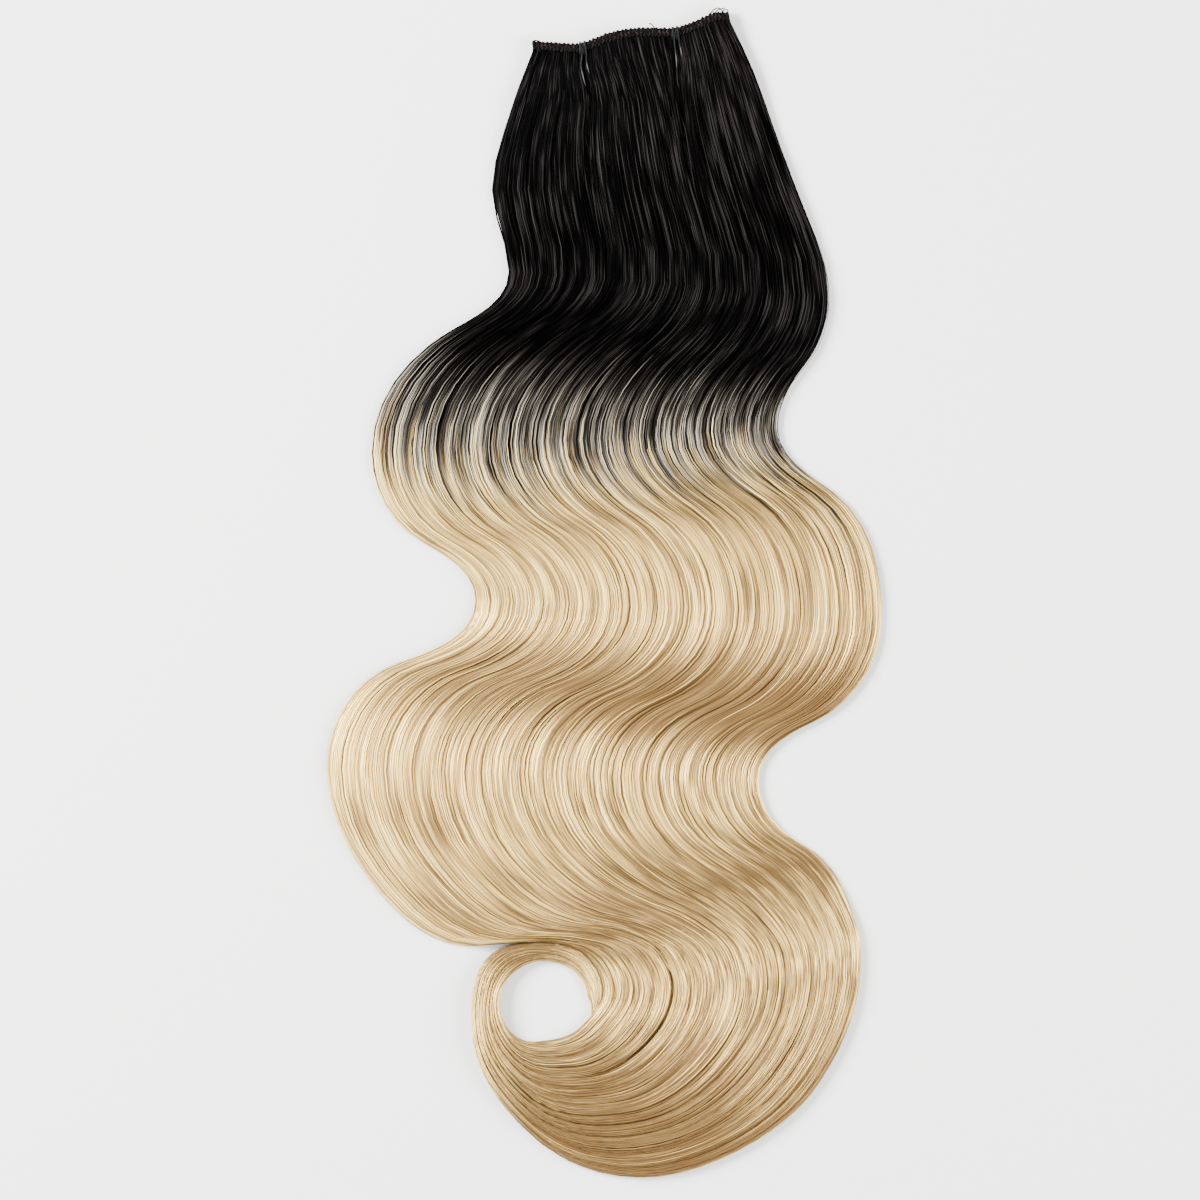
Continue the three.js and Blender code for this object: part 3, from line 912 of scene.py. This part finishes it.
def makeStray(material):
    # a few thin strands leave the outline for a while or cross the others
    count = stray["edge"] + stray["inside"]
    isEdge = np.arange(count) < stray["edge"]
    begin = np.where(isEdge, rng.uniform(*stray["edgeFrom"], count), rng.uniform(*stray["insideFrom"], count))
    length = rng.uniform(*stray["length"], count)
    share = np.linspace(0, 1, stray["steps"])
    places = np.clip(begin[:, None] + share * length[:, None], 0, stray["lastPlace"])
    side = rng.integers(0, 2, count)
    arc = np.sin(np.pi * share)
    bulge = rng.uniform(*stray["bulge"], count)[:, None] * arc ** 1.3
    edge = np.where(side[:, None] == 1, 0.992 + bulge, 0.008 - bulge)
    home = rng.uniform(0.06, 0.94, count)[:, None]
    inner = home + rng.uniform(-0.05, 0.05, count)[:, None] * (share - 0.5)
    across = np.where(isEdge[:, None], edge, inner)
    point = hairPoint(across, places)
    inside = np.clip(across, 0, 1)
    lifted = topHeight(inside, places, point) + mix(*stray["over"], arc)
    low = mix(*stray["beside"], arc) + undersideAt(point)
    height = np.where(isEdge[:, None], low, lifted)
    radii = stray["radius"] * np.sin(np.pi * np.clip(share, 0.04, 0.96))[None, :] ** 0.5 * np.ones((count, 1))
    ones = np.ones_like(places)
    attributes = {
        "flow": np.stack([home * ones, places, ones], -1),
        "fade": fadeAt(inside, places, 0),
        "tone": rng.uniform(0.35, 1, count)[:, None] * ones,
        "shade": ones,
    }
    tubes("strands_stray", raised(point, height), radii, material, "hair", attributes, sides=3)
    print("stray strands made:", count)


def makeHair():
    bedMaterial = hairMaterial("hair_bed", True)
    strandMaterial = hairMaterial("hair_strand", False)
    makeBed(bedMaterial)
    clumps = strands["clumps"]
    widths = rng.uniform(0.3, 1.9, clumps)
    clumpTone = {
        "edges": np.concatenate([[0], np.cumsum(widths)]) / widths.sum(),
        "tone": rng.normal(0, 1, clumps),
        "fade": rng.normal(0, 1, clumps),
        "pull": rng.uniform(0, 0.32, clumps),
        "rate": rng.uniform(0.5, 1.1, clumps),
        "phase": rng.uniform(0, 2 * np.pi, clumps),
    }
    for name, layer in strands["layers"].items():
        for panel, (low, high) in strands["panels"].items():
            count = round(strands["total"] * layer[0] * (high - low))
            makeStrands(f"strands_{name}_{panel}", low, high, count, layer, strandMaterial, clumpTone)
    makeStray(strandMaterial)


makeHair()


# the sewn band along the top, with wrapped threads over its edge and rows of stitches
weft = {
    "steps": 190,
    "wraps": 47,
    "wrapRadius": 0.00058,
    "wrapSlant": 0.006,
    "stitches": 52,
    "stitchRadius": 0.00024,
    "stitchHalf": 0.0075,
    "fibreRadius": 0.00024,
    # height on the band as a share, slant, thread
    "rows": [(0.7, 0.17, "threadRed"), (0.47, -0.17, "threadRed"), (0.2, 0.2, "threadDark")],
}

# up the band, height over its back, as shares
bandSection = [
    (0, 0.16), (0, 0.5), (0, 0.84), (0.08, 0.95), (0.3, 1), (0.55, 1), (0.72, 1), (0.86, 0.93),
    (0.94, 0.8), (0.985, 0.66), (1, 0.5), (0.985, 0.34), (0.94, 0.2), (0.72, 0), (0.3, 0),
]

# grain scale and colour stops of the black band and its threads
weftLooks = {
    "black": (2600, [(0.3, (0.0005, 0.0004, 0.0004)), (0.7, (0.0026, 0.002, 0.0019))]),
    "threadRed": (800, [(0.42, (0.0015, 0.001, 0.001)), (0.62, (0.024, 0.0105, 0.0095))]),
    "threadDark": (800, [(0.4, (0.001, 0.0008, 0.0008)), (0.7, (0.009, 0.0075, 0.007))]),
}


def bandPoint(across, up, high):
    # a point of the band, from shares of its length, height and thickness
    flat = weftPoint(across, plan["clearance"] + up * plan["weftHeight"])
    return raised(flat, weftFloor + high * plan["weftThickness"] + 0 * flat[..., 0])


def threadMaterial(name, look, specular=0.06):
    scale, stops = look
    paint = Paint(name, Roughness=0.75, Specular_IOR_Level=specular)
    grain = paint.grain(scale, 3.0, 0.6)
    paint.surface(Base_Color=paint.ramp(grain, stops), Normal=paint.bump(grain, 0.5, 0.0003))
    return paint.material


def spaced(count, play):
    return (np.arange(count) + 0.5 + rng.uniform(-play, play, count)) / count


def makeWeft():
    black = threadMaterial("weft_black", weftLooks["black"], specular=0.03)
    threads = {
        "threadRed": threadMaterial("thread_red", weftLooks["threadRed"]),
        "threadDark": threadMaterial("thread_dark", weftLooks["threadDark"]),
    }
    across = np.linspace(0, 1, weft["steps"] + 1)
    section = np.array(bandSection)
    rings = bandPoint(across[:, None], section[None, :, 0], section[None, :, 1])
    rows, count = rings.shape[:2]
    index = np.arange(rows * count).reshape(rows, count)
    ends = [np.array([index[0]]), np.array([index[-1, ::-1]])]
    mesh = meshFrom("weft_edge", rings.reshape(-1, 3), [ringQuads(index)] + ends)
    band = newObject("weft_edge", mesh, black)
    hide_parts("weft_band")
    along = np.array([*weftLine()[2], 0.0])
    # up the front, over the upper edge and down the back
    wrap = splineThrough([(0.55, 0.93), (0.77, 0.97), (0.915, 0.82), (0.97, 0.5), (0.915, 0.2), (0.7, 0.1)], 3)
    middles = spaced(weft["wraps"], 0.12)
    slant = np.linspace(-0.5, 0.5, len(wrap)) * weft["wrapSlant"]
    shift = rng.normal(0, 0.02, weft["wraps"])[:, None]
    paths = bandPoint(np.clip(middles[:, None] + slant, 0, 1), wrap[None, :, 0] + shift, wrap[None, :, 1])
    radii = weft["wrapRadius"] * rng.uniform(0.85, 1.15, (weft["wraps"], 1)) * np.ones(len(wrap))
    tubes("weft_wraps", paths, radii, black, "weft", sideways=along)
    for number, (up, tilt, thread) in enumerate(weft["rows"]):
        share = np.linspace(-1, 1, 5)
        stitches = weft["stitches"]
        middles = spaced(stitches, 0.15)
        reach = rng.uniform(0.75, 1.1, (stitches, 1))
        acrossBand = np.clip(middles[:, None] + share * weft["stitchHalf"] * reach, 0, 1)
        upBand = up + share * tilt * reach + rng.normal(0, 0.03, (stitches, 1))
        arch = 1 + 0.11 * np.cos(share * np.pi / 2) - 0.02
        paths = bandPoint(acrossBand, upBand, arch[None, :] + 0 * upBand)
        radii = weft["stitchRadius"] * rng.uniform(0.8, 1.25, (stitches, 1)) * np.cos(share * 1.2) ** 0.5
        tubes(f"weft_stitches_{number + 1}", paths, radii, threads[thread], "weft")
    # loose fibres, most of them at the right end of the edge
    fibres = [
        [(0.9, 0.9, 1), (0.915, 1.15, 1.1), (0.935, 1.4, 1), (0.955, 1.42, 0.8), (0.97, 1.05, 0.6)],
        [(0.93, 0.9, 0.9), (0.945, 1.2, 0.8), (0.965, 1.36, 0.9), (0.985, 1.5, 0.8)],
        [(0.96, 0.8, 1), (0.975, 1.2, 1.1), (0.995, 1.3, 0.9), (0.995, 1.0, 0.7)],
        [(0.0, 0.6, 1), (0.01, 1.05, 1), (0.03, 1.12, 0.8), (0.05, 0.9, 0.6)],
        [(0.62, 0.9, 1), (0.612, 1.3, 1.1), (0.6, 1.5, 1.2), (0.596, 1.42, 1.1)],
    ]
    curves = []
    for fibre in fibres:
        fine = splineThrough(fibre, 8)
        picked = fine[np.linspace(0, len(fine) - 1, 24).round().astype(int)]
        curves.append(bandPoint(np.clip(picked[:, 0], 0, 1), picked[:, 1], picked[:, 2]))
    paths = np.array(curves)
    radii = weft["fibreRadius"] * np.ones(paths.shape[:2])
    tubes("weft_fibres", paths, radii, black, "weft", sides=5)
    print("weft made")


# the elastic ties: groove, long leg and short leg
ties = {
    "left": (leftGroove, 0.0133, 0.0086),
    "right": (rightGroove, 0.0121, 0.0074),
    "share": 0.82,
    "tipShare": 0.28,
    "sides": 12,
    "turns": 4,
    "turnRadius": 0.00038,
    "turnReach": 0.00105,
    # up the band, height over its back, as shares
    "turnRoute": [(-0.4, 0.7), (-0.12, 1.08), (0.3, 1.17), (0.72, 1.14), (0.93, 0.92), (0.99, 0.5), (0.88, 0.05)],
    # how far from a tip the painted glint lies and how long it is, as shares of a leg's points
    "glintAt": 0.05,
    "glintLength": 0.03,
}


def tieRoute(groove, longReach, shortReach):
    # up one leg, over the weft, round behind it and down the other leg
    span = weftLine()[1]
    cord, clear, weftHeight = plan["cordDiameter"], plan["clearance"], plan["weftHeight"]
    radius = cord / 2
    middle = gathered(np.array(groove / plan["lockCount"]), np.array(0.0))
    ends = strandPoint(np.full(2, groove / plan["lockCount"]), np.array([0.0, 1.0]))
    firstBend = np.linalg.norm(ends[1] - ends[0])
    rise = clear + radius

    def onHair(side, reach):
        place = np.array([reach / firstBend])
        aside = side * plan["loopSpacing"] / 2 / span * (1 + place * 0.5)
        across = groove / plan["lockCount"] + aside
        point = strandPoint(across, place)
        return (*point[0], topHeight(across, place, point)[0] + rise * 0.8)

    def overWeft(side, up, height):
        return (*weftPoint(middle + side * plan["loopSpacing"] / 2 / span, up), height)

    front = weftFloor + plan["weftThickness"] + rise
    top = clear + weftHeight + rise * 0.35
    back = plan["clipThickness"] / 2

    def leg(side, reach):
        return [onHair(side, reach * share) for share in (1, 0.66, 0.36)] + [
            overWeft(side, -cord, front - cord * 0.3),
            overWeft(side, clear + weftHeight * 0.2, front),
            overWeft(side, clear + weftHeight * 0.75, front),
            overWeft(side, top, weftFloor + plan["weftThickness"] * 0.6),
            overWeft(side, top - cord * 0.2, weftFloor - radius),
            overWeft(side, mix(clipTop + rise, top, 0.55), back),
        ]

    route = leg(-1, longReach) + [overWeft(0, clipTop + rise, back)] + leg(1, shortReach)[::-1]
    # turns of the elastic, wound side by side over the upper edge
    aside = np.linspace(-1, 1, ties["turns"]) * ties["turnReach"] / span
    up, high = splineThrough(ties["turnRoute"], 4).T
    slant = np.linspace(-0.5, 0.5, len(up)) * ties["turnReach"] / span
    turns = bandPoint(middle + aside[:, None] + slant, up[None, :], high[None, :])
    return route, turns


def makeTies():
    paint = Paint("tie_elastic", Roughness=0.34, Specular_IOR_Level=0.05)
    elastic = paint.ramp(paint.grain(1400, 2.0), [(0.3, (0.0022, 0.0022, 0.0024)), (0.7, (0.0056, 0.0056, 0.006))])
    # painted glint: the legs turn lighter grey near their tips
    paint.surface(Base_Color=paint.blendColours(paint.attribute("glint"), elastic, (0.06, 0.06, 0.063)))
    along = np.array([*weftLine()[2], 0.0])
    for side in ("left", "right"):
        route, turns = tieRoute(*ties[side])
        route = splineThrough(route, 9)
        share = np.linspace(0, 1, len(route))
        taper = smooth(0, 0.3, share) * smooth(0, 0.3, 1 - share)
        radius = plan["cordDiameter"] / 2 * ties["share"]
        radii = radius * mix(ties["tipShare"], 1, taper)
        fromTip = np.minimum(share, 1 - share)
        glint = {"glint": np.exp(-((fromTip - ties["glintAt"]) / ties["glintLength"]) ** 2)[None]}
        look = {"sides": ties["sides"], "sideways": along}
        tie = tubes(f"tie_{side}", route[None], radii[None], paint.material, "loop", glint, **look)
        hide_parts(f"elastic_loop_{side}")
        radii = np.full(turns.shape[:2], ties["turnRadius"])
        tubes(f"tie_turns_{side}", turns, radii, paint.material, "loop", {"glint": 0 * radii}, **look)
    print("ties made")


def finishClips():
    # the comb clips stay the solids of the frame, in a satin dark enamel
    paint = Paint("clip_enamel", Roughness=0.38, Metallic=0.3)
    grain = paint.grain(700, 3.0)
    paint.surface(Base_Color=paint.ramp(grain, [(0.3, (0.008, 0.006, 0.005)), (0.7, (0.016, 0.012, 0.01))]))
    paint.surface(Roughness=grain * 0.12 + 0.34)
    for side in ("left", "right"):
        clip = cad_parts[f"clip_{side}"]
        clip.data.materials.clear()
        clip.data.materials.append(paint.material)


makeWeft()
makeTies()
finishClips()


# plain pale floor and soft studio light
studio = {
    "floor": (0.6, 0.6, 0.592),
    "floorSize": 6,
    "floorDrop": 0.0002,
    "world": (1, 1, 1),
    "worldStrength": 1.5,
    "keySize": 0.9,
    "keyPower": 290,
    "keyPlace": (-1.5, 0.6, 1.15),
    "fillSize": 1.2,
    "fillPower": 138,
    "fillPlace": (1.6, -0.35, 1.1),
}


def makeStudio():
    mesh = bpy.data.meshes.new("floor")
    half = studio["floorSize"] / 2
    mesh.from_pydata([(x * half, y * half, 0) for x, y in ((-1, -1), (1, -1), (1, 1), (-1, 1))], [], [(0, 1, 2, 3)])
    floor = bpy.data.objects.new("floor", mesh)
    floor.location.z = -studio["floorDrop"]
    bpy.context.scene.collection.objects.link(floor)
    paint = Paint("floor", Roughness=0.9, Specular_IOR_Level=0.1)
    paint.surface(Base_Color=(*studio["floor"], 1))
    mesh.materials.append(paint.material)
    world = bpy.data.worlds.new("studio")
    world.use_nodes = True
    background = world.node_tree.nodes["Background"]
    background.inputs[0].default_value = (*studio["world"], 1)
    background.inputs[1].default_value = studio["worldStrength"]
    bpy.context.scene.world = world
    for lamp in ("key", "fill"):
        data = bpy.data.lights.new(lamp, "AREA")
        data.size = studio[lamp + "Size"]
        data.energy = studio[lamp + "Power"]
        light = bpy.data.objects.new(lamp, data)
        bpy.context.scene.collection.objects.link(light)
        light.location = studio[lamp + "Place"]
        aim = Vector((0, 0, 0)) - light.location
        light.rotation_mode = "QUATERNION"
        light.rotation_quaternion = aim.to_track_quat("-Z", "Y")


makeStudio()
print("studio lit")
